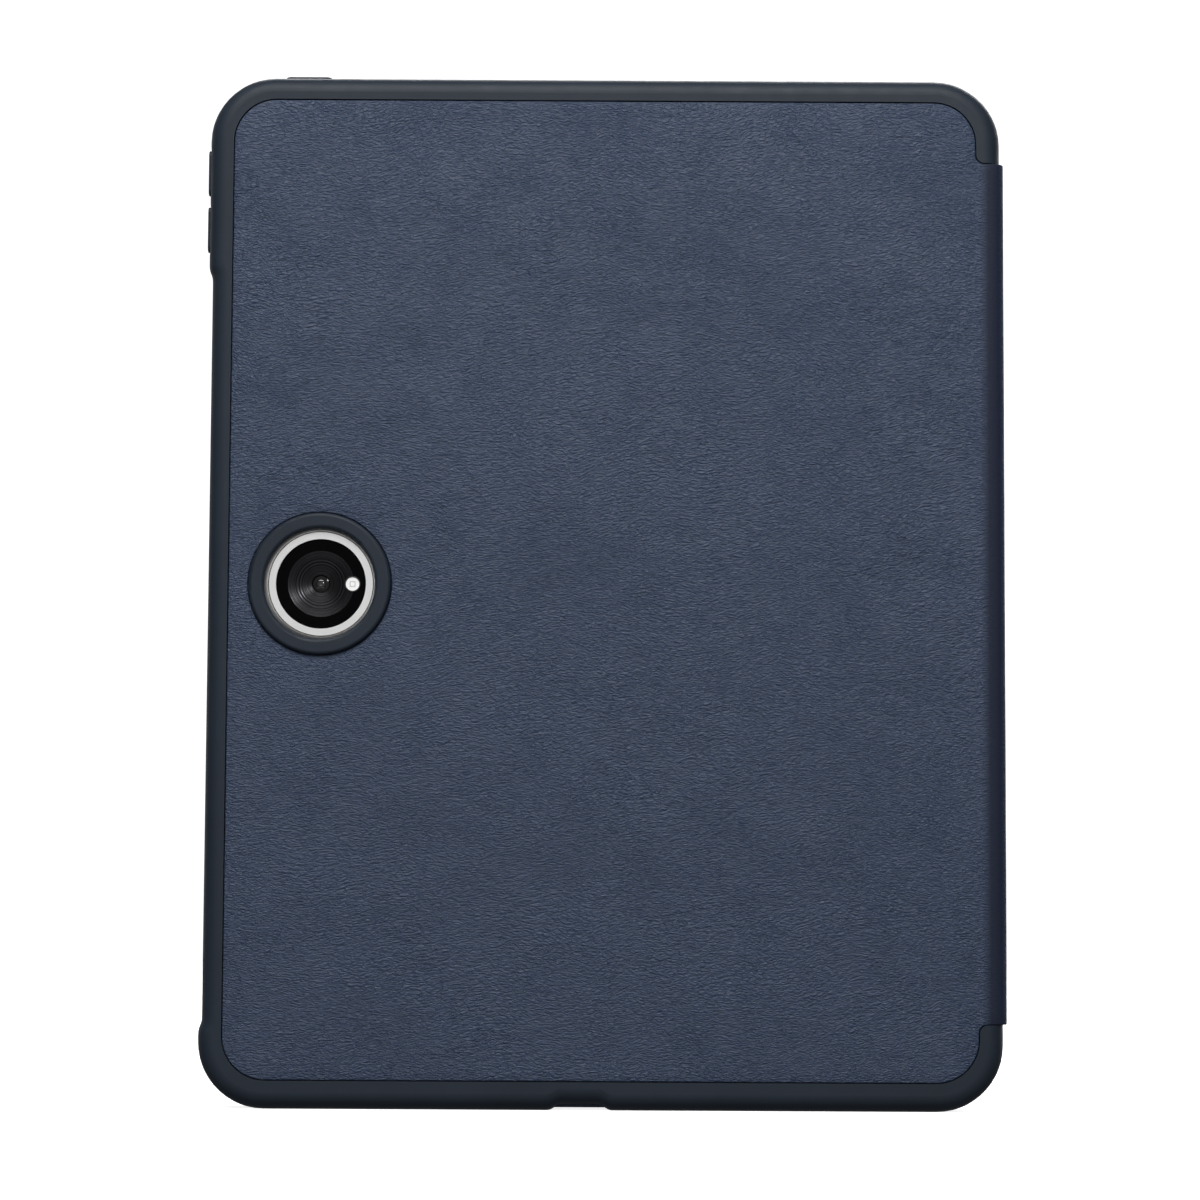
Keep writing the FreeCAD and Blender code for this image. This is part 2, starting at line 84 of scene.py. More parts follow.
camera_x = (trim_low.x + trim_high.x) / 2
camera_z = (trim_low.z + trim_high.z) / 2
flash_x = (flash_low.x + flash_high.x) / 2
guard_x = camera_x - 0.3
guard_hole_r = 18.25
fold_inner_x = (inner_low.x + middle_high.x) / 2
fold_outer_x = (middle_low.x + outer_high.x) / 2
back_y, front_y, spine_x = back_low.y, inner_high.y, spine_high.x
lining_y = lining_low.y
tongue_low, tongue_high = spine_low.z - 0.3, spine_high.z + 0.3


# ---- the flat pattern and the path it is wrapped along ----------------------------------------------
class Path:
    """A line in the XY plane. Flat patterns are cut along it, and the material lies on its left."""

    def __init__(self, points):
        self.points = [Vector(p) for p in points]
        self.at = [points[0][0]]
        for a, b in zip(self.points, self.points[1:]):
            self.at.append(self.at[-1] + (b - a).length)

    def place(self, u, depth):
        """The point at a distance u along the path, at a depth under its outer side."""
        i = min(max(bisect.bisect_right(self.at, u) - 1, 0), len(self.points) - 2)
        share = (u - self.at[i]) / (self.at[i + 1] - self.at[i])
        here = self.points[i].lerp(self.points[i + 1], share)
        way = self._way(i).lerp(self._way(i + 1), min(max(share, 0), 1)).normalized()
        return here.x - way.y * depth, here.y + way.x * depth

    def _way(self, i):
        """Direction of travel at a point of the path."""
        a = self.points[max(i - 1, 0)]
        b = self.points[min(i + 1, len(self.points) - 1)]
        return (b - a).normalized()

    def find(self, x, y):
        """Distance along the path of the point nearest to (x, y)."""
        target = Vector((x, y))
        best = min(range(len(self.points)), key=lambda i: (self.points[i] - target).length)
        found = self.at[best]
        for i in (best - 1, best):
            if 0 <= i < len(self.points) - 1:
                a, b = self.points[i], self.points[i + 1]
                share = (target - a).dot(b - a) / (b - a).length_squared
                if 0 <= share <= 1:
                    found = self.at[i] + share * (b - a).length
        return found


def quarter(cx, cy, a, b, start, steps=26):
    """Points of a quarter ellipse that turns to the left from an angle in degrees."""
    angles = [math.radians(start + 90 * i / steps) for i in range(steps + 1)]
    return [(cx + a * math.cos(t), cy + b * math.sin(t)) for t in angles]


def dips(x0, x1, y, folds, deep, half=2.1, steps=16):
    """A straight run from x0 to x1 with a shallow dip at each fold, towards the inside of the panel."""
    toward = 1 if x1 > x0 else -1
    points = [(x0, y)]
    for fold in folds:
        for i in range(steps + 1):
            s = -1 + 2 * i / steps
            points.append((fold + toward * s * half, y + deep * 0.5 * (1 + math.cos(math.pi * s))))
    return points + [(x1, y)]


far = 200                   # both paths start and end well outside the case
roll_a, roll_b, cover_roll = 4.9, 2.8, 2.6
fold_dip, lining_dip = 0.55, 0.3
leather_path = Path(
    [(-far, back_y)]
    + quarter(spine_x - roll_a, back_y + roll_b, roll_a, roll_b, -90)
    + quarter(spine_x - cover_roll, front_y - cover_roll, cover_roll, cover_roll, 0)
    + dips(spine_x - cover_roll - 0.5, -far, front_y, (fold_inner_x, fold_outer_x), -fold_dip)
)
roll_start = spine_x - roll_a
spine_seam = leather_path.find(spine_x, 3.5)
shell_under_y = back_low.y + 1.3
cover_turn, shell_turn, shell_turn_rise = 2.0, 0.6, 0.65    # the lining's turns into and out of the spine
quarter_steps = [t * math.pi / 24 for t in range(13)]
lining_path = Path(
    dips(-far, lining_x - 2.4, lining_y, (fold_outer_x, fold_inner_x), lining_dip)
    + [(lining_x + cover_turn * math.sin(t) - cover_turn, lining_y - cover_turn + cover_turn * math.cos(t))
       for t in quarter_steps]
    + [(lining_x + shell_turn * math.cos(t) - shell_turn,
        shell_under_y + shell_turn_rise - shell_turn_rise * math.sin(t)) for t in quarter_steps]
    + [(80, shell_under_y)]
)


# ---- mesh helpers ------------------------------------------------------------------------------------
def shade(mesh, angle=40):
    """Smooth shading, with edges sharper than the angle kept crisp."""
    mesh.polygons.foreach_set("use_smooth", [True] * len(mesh.polygons))
    mesh.set_sharp_from_angle(angle=math.radians(angle))


def add_piece(name, vertices, faces, material):
    """A new mesh piece from points in millimetres."""
    mesh = bpy.data.meshes.new(name)
    mesh.from_pydata([(x * MM, y * MM, z * MM) for x, y, z in vertices], [], faces)
    mesh.update()
    shade(mesh)
    piece = bpy.data.objects.new(name, mesh)
    scene.collection.objects.link(piece)
    mesh.materials.append(material)
    return piece


def outline(corners, step=0.7):
    """Counter-clockwise outline with rounded corners, as evenly spaced points. A corner is (u, z, radius)."""
    points = []
    count = len(corners)
    for i, (u, z, r) in enumerate(corners):
        corner = Vector((u, z))
        before = Vector(corners[i - 1][:2])
        after = Vector(corners[(i + 1) % count][:2])
        way_in, way_out = (corner - before).normalized(), (after - corner).normalized()
        turn = way_in.x * way_out.y - way_in.y * way_out.x
        start = corner - way_in * r
        side = Vector((-way_in.y, way_in.x)) * (1 if turn > 0 else -1)
        centre = start + side * r
        steps = max(2, round(r * math.pi / 2 / step))
        for k in range(steps + 1):
            t = math.pi / 2 * k / steps
            points.append(centre - side * r * math.cos(t) + way_in * r * math.sin(t))
    even = []
    for a, b in zip(points, points[1:] + points[:1]):
        parts = max(1, math.ceil((b - a).length / step))
        if (b - a).length > 1e-6:
            even += [a.lerp(b, k / parts) for k in range(parts)]
    return even


def circle(u, z, radius, step=0.7):
    """Clockwise circle, for a hole."""
    count = max(24, round(2 * math.pi * radius / step))
    return [Vector((u + radius * math.cos(-2 * math.pi * i / count),
                    z + radius * math.sin(-2 * math.pi * i / count))) for i in range(count)]


def inside(points, loops):
    """Even-odd test of many points against closed loops."""
    x, y = points[:, 0], points[:, 1]
    result = np.zeros(len(points), bool)
    for loop in loops:
        for a, b in zip(loop, loop[1:] + loop[:1]):
            if a.y == b.y:
                continue
            crosses = (a.y > y) != (b.y > y)
            result ^= crosses & (x < (b.x - a.x) * (y - a.y) / (b.y - a.y) + a.x)
    return result


def flat_faces(loops, us, zs, clear):
    """Triangles that fill the loops, with extra points where the lines us and zs cross."""
    grid = np.array([(u, z) for u in us for z in zs])
    grid = grid[inside(grid, loops)]
    rim = np.array([(p.x, p.y) for loop in loops for p in loop])
    if len(grid):
        near = np.array([np.min(np.hypot(*(rim - g).T)) for g in grid])
        grid = grid[near > clear]
    edges, offset = [], 0
    for loop in loops:
        edges += [(offset + i, offset + (i + 1) % len(loop)) for i in range(len(loop))]
        offset += len(loop)
    points = [Vector(p) for p in rim] + [Vector(g) for g in grid]
    found = delaunay_2d_cdt(points, edges, [], 0, 1e-5)
    corners, triangles = found[0], found[2]
    centres = np.array([[sum(corners[i].x for i in f) / 3, sum(corners[i].y for i in f) / 3]
                        for f in triangles])
    keep = inside(centres, loops)
    return corners, [f for f, k in zip(triangles, keep) if k]


def lines(low, high, step, fine=()):
    """Grid lines from low to high, closer together inside the fine ranges."""
    values, at = [], low
    while at < high:
        values.append(at)
        near = any(a - 1 <= at <= b + 1 for a, b in fine)
        at += 0.5 if near else step
    return values


def wrap_skin(name, path, loops, thick, material, fine=(), seams=(), turned=None, round_r=0.45,
              relief=0.03, step=2.6, emboss=None):
    """A sheet cut to the loops in the flat and wrapped along the path, with rolled edges.

    fine are the ranges of u with closer grid lines, where the sheet bends. seams are the u values where
    it goes on in its neighbour, so it has no rolled edge there. turned is (depth, width) of the edge
    folded over the board, where there is one. relief is the height of its soft unevenness. emboss is
    (distance, depth) of a line pushed in along the edge.
    """
    thetas = [math.pi / 2 * share for share in (0.66, 0.33, 0.0)]
    vertices, flat, faces = [], [], []

    seam_fade, line_width = 1.2, 0.45

    def seam_share(u):
        return min((min(abs(u - s) / seam_fade, 1.0) for s in seams), default=1.0)

    def add(u, z, depth, lift):
        bump = relief * lift * (noise.noise(Vector((u * 0.045, z * 0.06, 3.1)))
                                + 0.5 * noise.noise(Vector((u * 0.16, z * 0.21, 8.7))))
        x, y = path.place(u, depth - bump)
        vertices.append((x, y, z))
        flat.append((u, z, depth))
        return len(vertices) - 1

    def inset_loop(loop, distance):
        moved = []
        for i, p in enumerate(loop):
            way = loop[(i + 1) % len(loop)] - loop[i - 1]
            outward = Vector((way.y, -way.x)).normalized()
            moved.append(p - outward * distance * max(seam_share(p.x), 0.04))
        return moved

    def ring(loop, distance, depth, lift=1.0, turned_depth=None):
        indices = []
        for p, q in zip(loop, inset_loop(loop, distance)):
            share = seam_share(p.x)
            level = depth if turned_depth is None else depth + (turned_depth - depth) * (share > 0.5)
            indices.append(add(q.x, q.y, level, lift))
        return indices

    def join(a, b):
        for i in range(len(a)):
            j = (i + 1) % len(a)
            faces.append((a[i], b[i], b[j], a[j]))

    us = lines(min(p.x for p in loops[0]), max(p.x for p in loops[0]), step, fine)
    zs = lines(min(p.y for p in loops[0]), max(p.y for p in loops[0]), step)
    top_loops = [inset_loop(loop, round_r) for loop in loops]
    top_points, top = flat_faces(top_loops, us, zs, step * 0.35)
    top_index = []
    edge_lines = [np.array([(p.x, p.y) for p in loop]) for loop in loops]
    for p in top_points:
        depth = 0.0
        if emboss:
            away = min(np.min(np.hypot(e[:, 0] - p.x, e[:, 1] - p.y)) for e in edge_lines)
            depth = emboss[1] * math.exp(-((away - emboss[0]) / line_width) ** 2)
        top_index.append(add(p.x, p.y, depth, 1.0))
    faces += [tuple(top_index[i] for i in f) for f in top]
    base_count, bottom = 0, []
    bottom_inset = turned[1] if turned else 0.0
    for loop in loops:
        rings = [top_index[base_count:base_count + len(loop)]]
        base_count += len(loop)
        for theta in thetas:
            rings.append(ring(loop, round_r * (1 - math.cos(theta)), round_r * (1 - math.sin(theta))))
        if turned:
            rings.append(ring(loop, 0.0, thick, 0.3, turned[0]))
            rings.append(ring(loop, turned[1], thick, 0.3, turned[0]))
            rings.append(ring(loop, turned[1], thick, 0.3))
        else:
            rings.append(ring(loop, 0.0, thick, 0.3))
        for a, b in zip(rings, rings[1:]):
            join(a, b)
        bottom += rings[-1]
    under = [inset_loop(loop, bottom_inset) for loop in loops]
    under_points, under_faces = flat_faces(under, us[::2], zs[::3], step * 0.35)
    index = bottom + [add(p.x, p.y, thick, 0.3) for p in under_points[len(bottom):]]
    faces += [tuple(reversed([index[i] for i in f])) for f in under_faces]
    piece = add_piece(name, vertices, faces, material)
    pattern = piece.data.attributes.new("flat", "FLOAT_VECTOR", "POINT")
    pattern.data.foreach_set("vector", [c for p in flat for c in p])
    return piece


# ---- materials ---------------------------------------------------------------------------------------
class Look:
    """One procedural material; vectors are in millimetres."""

    def __init__(self, name, colour, roughness, metallic=0.0, **sockets):
        self.material = bpy.data.materials.new(name)
        self.material.use_nodes = True
        self.tree = self.material.node_tree
        self.shader = self.tree.nodes["Principled BSDF"]
        self.shader.inputs["Base Color"].default_value = (*colour, 1)
        self.shader.inputs["Roughness"].default_value = roughness
        self.shader.inputs["Metallic"].default_value = metallic
        for socket, value in sockets.items():
            self.shader.inputs[socket.replace("_", " ")].default_value = value

    def node(self, kind, inputs=(), **settings):
        made = self.tree.nodes.new("ShaderNode" + kind)
        for key, value in settings.items():
            setattr(made, key, value)
        for key, value in dict(inputs).items():
            if isinstance(value, bpy.types.NodeSocket):
                self.tree.links.new(value, made.inputs[key])
            else:
                made.inputs[key].default_value = value
        return made

    def object_mm(self):
        return self.scaled(self.node("TexCoord").outputs["Object"], (1000, 1000, 1000))

    def flat_mm(self):
        return self.node("Attribute", attribute_name="flat").outputs["Vector"]

    def scaled(self, vector, scale, rotation=0.0):
        made = self.node("Mapping", {"Vector": vector, "Scale": scale})
        made.inputs["Rotation"].default_value = (0, 0, rotation)
        return made.outputs[0]

    def warped(self, vector, scale, amount):
        """The vector, pushed about by soft noise."""
        drift = self.node("TexNoise", {"Vector": vector, "Scale": scale, "Detail": 2.0}).outputs["Color"]
        centred = self.node("VectorMath", {0: drift, 1: (0.5, 0.5, 0.5)}, operation="SUBTRACT").outputs[0]
        pushed = self.node("VectorMath", {0: centred, 1: (amount,) * 3}, operation="MULTIPLY").outputs[0]
        return self.node("VectorMath", {0: vector, 1: pushed}, operation="ADD").outputs[0]

    def noise(self, vector, scale, detail=2.0, roughness=0.5):
        inputs = {"Vector": vector, "Scale": scale, "Detail": detail, "Roughness": roughness}
        return self.node("TexNoise", inputs).outputs["Fac"]

    def ring_radius(self, x, z):
        """Distance from an axis along Y."""
        centred = self.node("VectorMath", {0: self.object_mm(), 1: (-x, 0, -z)}, operation="ADD").outputs[0]
        across = self.node("VectorMath", {0: centred, 1: (1, 0, 1)}, operation="MULTIPLY").outputs[0]
        return self.node("VectorMath", {0: across}, operation="LENGTH").outputs["Value"]

    def ring_noise(self, x, z, scale):
        """Noise that changes only with the distance from an axis along Y."""
        inputs = {"W": self.ring_radius(x, z), "Scale": scale, "Detail": 3.0, "Roughness": 0.6}
        return self.node("TexNoise", inputs, noise_dimensions="1D").outputs["Fac"]

    def math(self, operation, a, b=0.0, clamp=False):
        return self.node("Math", {0: a, 1: b}, operation=operation, use_clamp=clamp).outputs[0]

    def span(self, value, low, high, to_low=0.0, to_high=1.0):
        """Map a value from one range to another, clamped."""
        inputs = {"Value": value, "From Min": low, "From Max": high, "To Min": to_low, "To Max": to_high}
        return self.node("MapRange", inputs).outputs[0]

    def mix(self, factor, a, b):
        made = self.node("Mix", data_type="RGBA")
        for key, value in ((0, factor), (6, a), (7, b)):
            if isinstance(value, bpy.types.NodeSocket):
                self.tree.links.new(value, made.inputs[key])
            else:
                made.inputs[key].default_value = value if key == 0 else (*value, 1)
        return made.outputs[2]

    def set(self, socket, value):
        self.tree.links.new(value, self.shader.inputs[socket])

    def bump(self, height, deep, strength=1.0):
        """Relief from a 0 to 1 height, deep millimetres from low to high."""
        inputs = {"Height": height, "Distance": deep * MM, "Strength": strength}
        self.set("Normal", self.node("Bump", inputs).outputs[0])


def leather(name, base, light, roll_shade, hinge):
    """Soft synthetic leather: fine wavy creases and a few longer wrinkles, with flattened grain in the hinge.

    hinge is the range of the flat pattern's first coordinate where the grain is flattened, the gloss lowered
    and the colour darkened to a painted shade of the roll turning away from the light.
    """
    look = Look(name, base, 0.5, Specular_IOR_Level=0.41)
    at = look.flat_mm()
    wavy = look.warped(look.warped(at, 0.02, 16.0), 0.25, 1.0)
    crease = look.noise(look.scaled(wavy, (0.78, 2.3, 1.0)), 1.0, 1.6, 0.6)
    cells = look.node("TexVoronoi", {"Vector": look.scaled(wavy, (0.55, 1.4, 1.0)), "Scale": 1.0},
                      feature="DISTANCE_TO_EDGE").outputs["Distance"]
    pebble = look.span(cells, 0.0, 0.16)
    patch = look.span(look.noise(at, 0.09, 2.0), 0.36, 0.66, 0.75, 1.0)
    streak = look.noise(look.scaled(look.warped(at, 0.06, 5.0), (0.022, 0.075, 1.0), 0.5), 1.0, 4.0, 0.55)
    fold = look.math("ABSOLUTE", look.math("SUBTRACT", streak, 0.5))
    fold_patch = look.span(look.noise(at, 0.017, 1.0), 0.5, 0.62)
    wrinkle = look.math("MULTIPLY", look.span(fold, 0.0, 0.008, 1.0, 0.0), fold_patch)
    grain = look.math("ADD", look.math("SUBTRACT", crease, 0.5), look.math("MULTIPLY", pebble, 0.25))
    height = look.math("SUBTRACT", look.math("MULTIPLY", grain, patch), look.math("MULTIPLY", wrinkle, 0.22))
    along = look.node("SeparateXYZ", {"Vector": at}).outputs["X"]
    # This mask marks the hinge roll: there the grain is flattened and made rougher, and the colour is
    # darkened as painted shade.
    hinge_flat_and_shade = look.math("MULTIPLY", look.span(along, hinge[0] - 1.2, hinge[0] + 1.2),
                       look.span(along, hinge[1] - 1.0, hinge[1] + 1.0, 1.0, 0.0))
    look.bump(look.math("MULTIPLY", height, look.span(hinge_flat_and_shade, 0.0, 1.0, 1.0, 0.08)), 0.41)
    # The colour follows the crease relief: lighter on its ridges and darker in its hollows. This is partly
    # the grain's own tone and partly painted shade and highlight. The long wrinkles are darkened as painted
    # shade.
    tone = look.math("ADD", look.span(crease, 0.3, 0.7, 0.0, 0.95),
                     look.span(look.noise(at, 0.02, 2.0), 0.3, 0.7, 0.0, 0.05))
    grain_tone_and_shade = look.math("SUBTRACT", tone, look.math("MULTIPLY", wrinkle, 0.35), True)
    # In the hinge roll the base colour is replaced by a painted shade colour.
    look.set("Base Color", look.mix(hinge_flat_and_shade, look.mix(grain_tone_and_shade, base, light), roll_shade))
    gloss = look.span(crease, 0.3, 0.7, 0.55, 0.43)
    look.set("Roughness", look.math("ADD", gloss, look.math("MULTIPLY", hinge_flat_and_shade, 0.2)))
    return look.material


def moulded(name, base, light, roughness, grain=0.012, scale=6.0, metallic=0.0, **sockets):
    """Moulded or finished surface: fine texture, slight mottling and uneven gloss."""
    look = Look(name, base, roughness, metallic, **sockets)
    at = look.object_mm()
    fine = look.noise(at, scale, 2.0, 0.6)
    broad = look.noise(at, 0.06, 3.0, 0.6)
    look.bump(fine, grain)
    look.set("Base Color", look.mix(look.span(broad, 0.3, 0.7), base, light))
    uneven = look.noise(at, 0.25, 3.0, 0.6)
    look.set("Roughness", look.span(uneven, 0.3, 0.7, roughness - 0.05, roughness + 0.06))
    return look.material


def microfibre(name, base, light):
    """Brushed lining cloth: short nap with soft light and dark strokes."""
    look = Look(name, base, 0.92, Sheen_Weight=0.35, Sheen_Roughness=0.4, Specular_IOR_Level=0.2)
    at = look.flat_mm()
    nap = look.noise(look.scaled(look.warped(at, 0.2, 3.0), (3.2, 1.6, 1.0)), 1.0, 3.0, 0.65)
    strokes = look.noise(look.scaled(look.warped(at, 0.05, 4.0), (0.035, 0.014, 1.0), 0.4), 1.0, 3.0, 0.6)
    look.bump(nap, 0.09)
    tone = look.math("ADD", look.span(nap, 0.25, 0.75, 0.0, 0.5), look.span(strokes, 0.3, 0.7, 0.1, 0.35))
    look.set("Base Color", look.mix(tone, base, light))
    return look.material


def camera_glass(name):
    """Black camera cover glass with the faintest smudging in its gloss."""
    black, smudge = (0.0010, 0.0010, 0.0014), (0.0022, 0.0022, 0.0026)
    look = Look(name, (0.0012, 0.0012, 0.0016), 0.12, Specular_IOR_Level=0.03)
    at = look.object_mm()
    look.set("Roughness", look.span(look.noise(at, 0.35, 3.0), 0.3, 0.7, 0.09, 0.17))
    look.set("Base Color", look.mix(look.noise(at, 0.8, 2.0), black, smudge))
    return look.material


def ringed(name, x, z, stops, roughness, metallic=0.0, **sockets):
    """Colours in rings round an axis along Y. stops are (radius, colour), from the middle outwards."""
    look = Look(name, stops[0][1], roughness, metallic, **sockets)
    radius = look.ring_radius(x, z)
    tone = look.noise(look.object_mm(), 3.0, 2.0)
    colour = look.mix(tone, stops[0][1], tuple(c * 1.15 for c in stops[0][1]))
    for r, shade_in in stops[1:]:
        colour = look.mix(look.span(radius, r - 0.05, r + 0.05), colour, shade_in)
    look.set("Base Color", colour)
    look.set("Roughness", look.span(tone, 0.3, 0.7, roughness * 0.9, roughness * 1.1))
    return look.material


def flash_cover(name):
    """Milky flash lens with a faint square pattern moulded in its middle, and a faint painted glow."""
    # The faint emission is a painted glow; the flash is not lit.
    look = Look(name, (0.85, 0.85, 0.83), 0.3, Emission_Color=(1, 1, 1, 1), Emission_Strength=0.12)
    at = look.object_mm()
    centred = look.node("VectorMath", {0: at, 1: (-flash_x, 0, -camera_z)}, operation="ADD").outputs[0]
    parts = look.node("SeparateXYZ", {"Vector": centred})
    wide = look.math("ABSOLUTE", parts.outputs["X"])
    tall = look.math("ABSOLUTE", parts.outputs["Z"])
    square = look.math("MAXIMUM", wide, tall)
    band = look.math("ABSOLUTE", look.math("SUBTRACT", square, 0.62))
    line = look.span(band, 0.08, 0.2, 1.0, 0.0)
    base = look.mix(look.noise(at, 2.0), (0.82, 0.82, 0.8), (0.9, 0.9, 0.88))
    look.set("Base Color", look.mix(look.math("MULTIPLY", line, 0.6), base, (0.3, 0.3, 0.3)))
    return look.material


# The third navy is a painted shade for the leather of the hinge roll, which turns away from the light.
NAVY, NAVY_LIGHT, NAVY_ROLL_SHADE = (0.0205, 0.0360, 0.0715), (0.0375, 0.0590, 0.1110), (0.0045, 0.0090, 0.0290)
looks = {
    "leather": leather("navy_leather", NAVY, NAVY_LIGHT, NAVY_ROLL_SHADE, (roll_start - 0.4, roll_start + 4.6)),
    "lining": microfibre("grey_microfibre", (0.028, 0.031, 0.038), (0.062, 0.067, 0.078)),
    "bumper_tpu": moulded("bumper_soft_plastic", (0.0143, 0.0212, 0.0325), (0.0172, 0.0250, 0.0375), 0.5,
                          Specular_IOR_Level=0.26),
    "button_tpu": moulded("button_soft_plastic", (0.0135, 0.0202, 0.0312), (0.0170, 0.0250, 0.0375), 0.46,
                          Specular_IOR_Level=0.26),
    "stiffener_board": moulded("grey_board", (0.16, 0.15, 0.135), (0.24, 0.225, 0.2), 0.9, 0.03, 2.5),
    "tablet_metal": moulded("anodised_aluminium", (0.24, 0.25, 0.27), (0.3, 0.31, 0.33),
                            0.38, 0.004, 9.0, 1.0),
    "tablet_key_metal": moulded("key_aluminium", (0.26, 0.27, 0.29), (0.34, 0.35, 0.37),
                                0.33, 0.004, 9.0, 1.0),
    "screen_glass": moulded("dark_screen_glass", (0.004, 0.004, 0.005), (0.006, 0.006, 0.007),
                            0.09, 0.00001, 0.6, Coat_Weight=0.4),
    "display": moulded("display_layer", (0.006, 0.007, 0.009), (0.01, 0.011, 0.014), 0.3, 0.001, 2.0),
    "cell": moulded("cell_foil", (0.03, 0.03, 0.035), (0.06, 0.06, 0.065), 0.35, 0.01, 1.2),
    "circuit": moulded("green_circuit", (0.01, 0.06, 0.025), (0.03, 0.16, 0.06), 0.4, 0.02, 2.0),
    "speaker_box": moulded("speaker_box", (0.012, 0.012, 0.013), (0.02, 0.02, 0.022), 0.55),
    "camera_trim": moulded("satin_silver", (0.72, 0.72, 0.71), (0.78, 0.78, 0.77), 0.34, 0.003, 10.0, 0.3),
    "camera_window": camera_glass("camera_black_glass"),
    "lens_glass": ringed("lens_glass", camera_x, camera_z,
                         [(0, (0.001, 0.001, 0.001)), (1.25, (0.011, 0.011, 0.012)),
                          (1.95, (0.003, 0.003, 0.003))],
                         0.08, Specular_IOR_Level=0.2),
    "flash_lens": flash_cover("milky_flash"),
    "camera_body": moulded("camera_body", (0.015, 0.015, 0.016), (0.03, 0.03, 0.032), 0.5),
    "port_metal": moulded("port_steel", (0.5, 0.5, 0.5), (0.62, 0.62, 0.62), 0.3, 0.002, 6.0, 1.0),
    "magnet": moulded("nickel_plate", (0.55, 0.54, 0.52), (0.68, 0.67, 0.64), 0.25, 0.003, 3.0, 1.0),
    "keyboard_case": moulded("keyboard_case_plastic", (0.020, 0.022, 0.026), (0.026, 0.029, 0.034),
                             0.5, 0.012, 5.0),
    "keyboard_deck": moulded("keyboard_deck_plastic", (0.024, 0.027, 0.032), (0.030, 0.034, 0.040),
                             0.46, 0.01, 6.0),
    "keycaps": moulded("keycap_plastic", (0.011, 0.012, 0.014), (0.016, 0.017, 0.020), 0.42, 0.009, 7.0),
    "membrane": moulded("contact_sheet", (0.25, 0.25, 0.24), (0.34, 0.34, 0.33), 0.5, 0.004, 2.0),
    "screws": moulded("steel_screws", (0.32, 0.32, 0.33), (0.42, 0.42, 0.43), 0.3, 0.003, 5.0, 1.0),
    "status_light": moulded("status_light", (0.75, 0.85, 0.78), (0.85, 0.95, 0.88), 0.3, 0.002, 5.0),
}


def find_slots(part, found):
    """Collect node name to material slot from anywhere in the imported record."""
    if isinstance(part, dict):
        if "material_slot" in part and ("name" in part or "node" in part):
            found[part.get("name", part.get("node"))] = part["material_slot"]
        for value in part.values():
            find_slots(value, found)
    elif isinstance(part, list):
        for value in part:
            find_slots(value, found)
    return found


slot_of = find_slots(frame["record"], {})
for node, thing in frame["nodes"].items():
    material = looks[slot_of[node]]
    if not thing.material_slots:
        thing.data.materials.append(material)
    for holder in thing.material_slots:
        holder.material = material


# ---- leather: one hide wrapped round the back, the spine and the front cover --------------------------
SQUARE = 0.02               # radius of a corner that is left square
inner_seam = leather_path.find(inner_low.x, front_y)
middle_seam = leather_path.find(middle_low.x, front_y)
cover_edge = leather_path.find(outer_low.x, front_y)
hinge_edge = leather_path.find(inner_high.x, front_y)
notch_x, notch_r, back_r = back_low.x + 189.6, 2.0, 10.8

back_corners = [
    (back_low.x, back_low.z, back_r), (notch_x, back_low.z, back_r), (notch_x, tongue_low, notch_r),
    (spine_seam, tongue_low, SQUARE), (spine_seam, tongue_high, SQUARE), (notch_x, tongue_high, notch_r),
    (notch_x, back_high.z, back_r), (back_low.x, back_high.z, back_r),
]
leather_back = wrap_skin(
    "leather_back_and_spine", leather_path, [outline(back_corners), circle(guard_x, camera_z, guard_hole_r)],
    0.8, looks["leather"], fine=[(roll_start, roll_start + 8)], seams=[spine_seam],
    round_r=0.28, relief=0.025)
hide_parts("back_leather", "spine_leather")

cover_r = 16.8
inner_corners = [
    (spine_seam, tongue_low, SQUARE), (hinge_edge, tongue_low, 1.5), (hinge_edge, inner_low.z, cover_r),
    (inner_seam, inner_low.z, SQUARE), (inner_seam, inner_high.z, SQUARE),
    (hinge_edge, inner_high.z, cover_r),
    (hinge_edge, tongue_high, 1.5), (spine_seam, tongue_high, SQUARE),
]
turned_edge = (front_y - inner_low.y, 0.7)
leather_inner = wrap_skin(
    "leather_cover_inner", leather_path, [outline(inner_corners)], 0.7, looks["leather"],
    fine=[(spine_seam, hinge_edge + 1)], seams=[spine_seam, inner_seam], turned=turned_edge, relief=0.05)
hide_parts("cover_leather_inner")

middle_corners = [
    (inner_seam, 0.0, SQUARE), (middle_seam, 0.0, SQUARE), (middle_seam, inner_high.z, SQUARE),
    (inner_seam, inner_high.z, SQUARE),
]
leather_middle = wrap_skin(
    "leather_cover_middle", leather_path, [outline(middle_corners)], 0.7, looks["leather"],
    fine=[(inner_seam, inner_seam + 4)], seams=[inner_seam, middle_seam], turned=turned_edge, relief=0.05)
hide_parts("cover_leather_middle")

outer_corners = [
    (middle_seam, 0.0, SQUARE), (cover_edge, 0.0, cover_r), (cover_edge, inner_high.z, cover_r),
    (middle_seam, inner_high.z, SQUARE),
]
leather_outer = wrap_skin(
    "leather_cover_outer", leather_path, [outline(outer_corners)], 0.7, looks["leather"],
    fine=[(middle_seam, middle_seam + 4)], seams=[middle_seam], turned=turned_edge, relief=0.05)
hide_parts("cover_leather_outer")

# ---- lining: the same wrap on the inner side ---------------------------------------------------------
lining_edge = lining_path.find(lining_low.x, lining_y)
lining_outer_seam = lining_path.find(middle_low.x, lining_y)
lining_inner_seam = lining_path.find(inner_low.x, lining_y)
lining_hinge = lining_path.find(inner_high.x - 1.6, lining_y)
lining_spine_seam = lining_path.find(lining_x, 3.5)
lining_end = lining_path.find(lining_x - 2.9, shell_under_y)
low_z, high_z, lining_r = lining_low.z, lining_high.z, 16.0

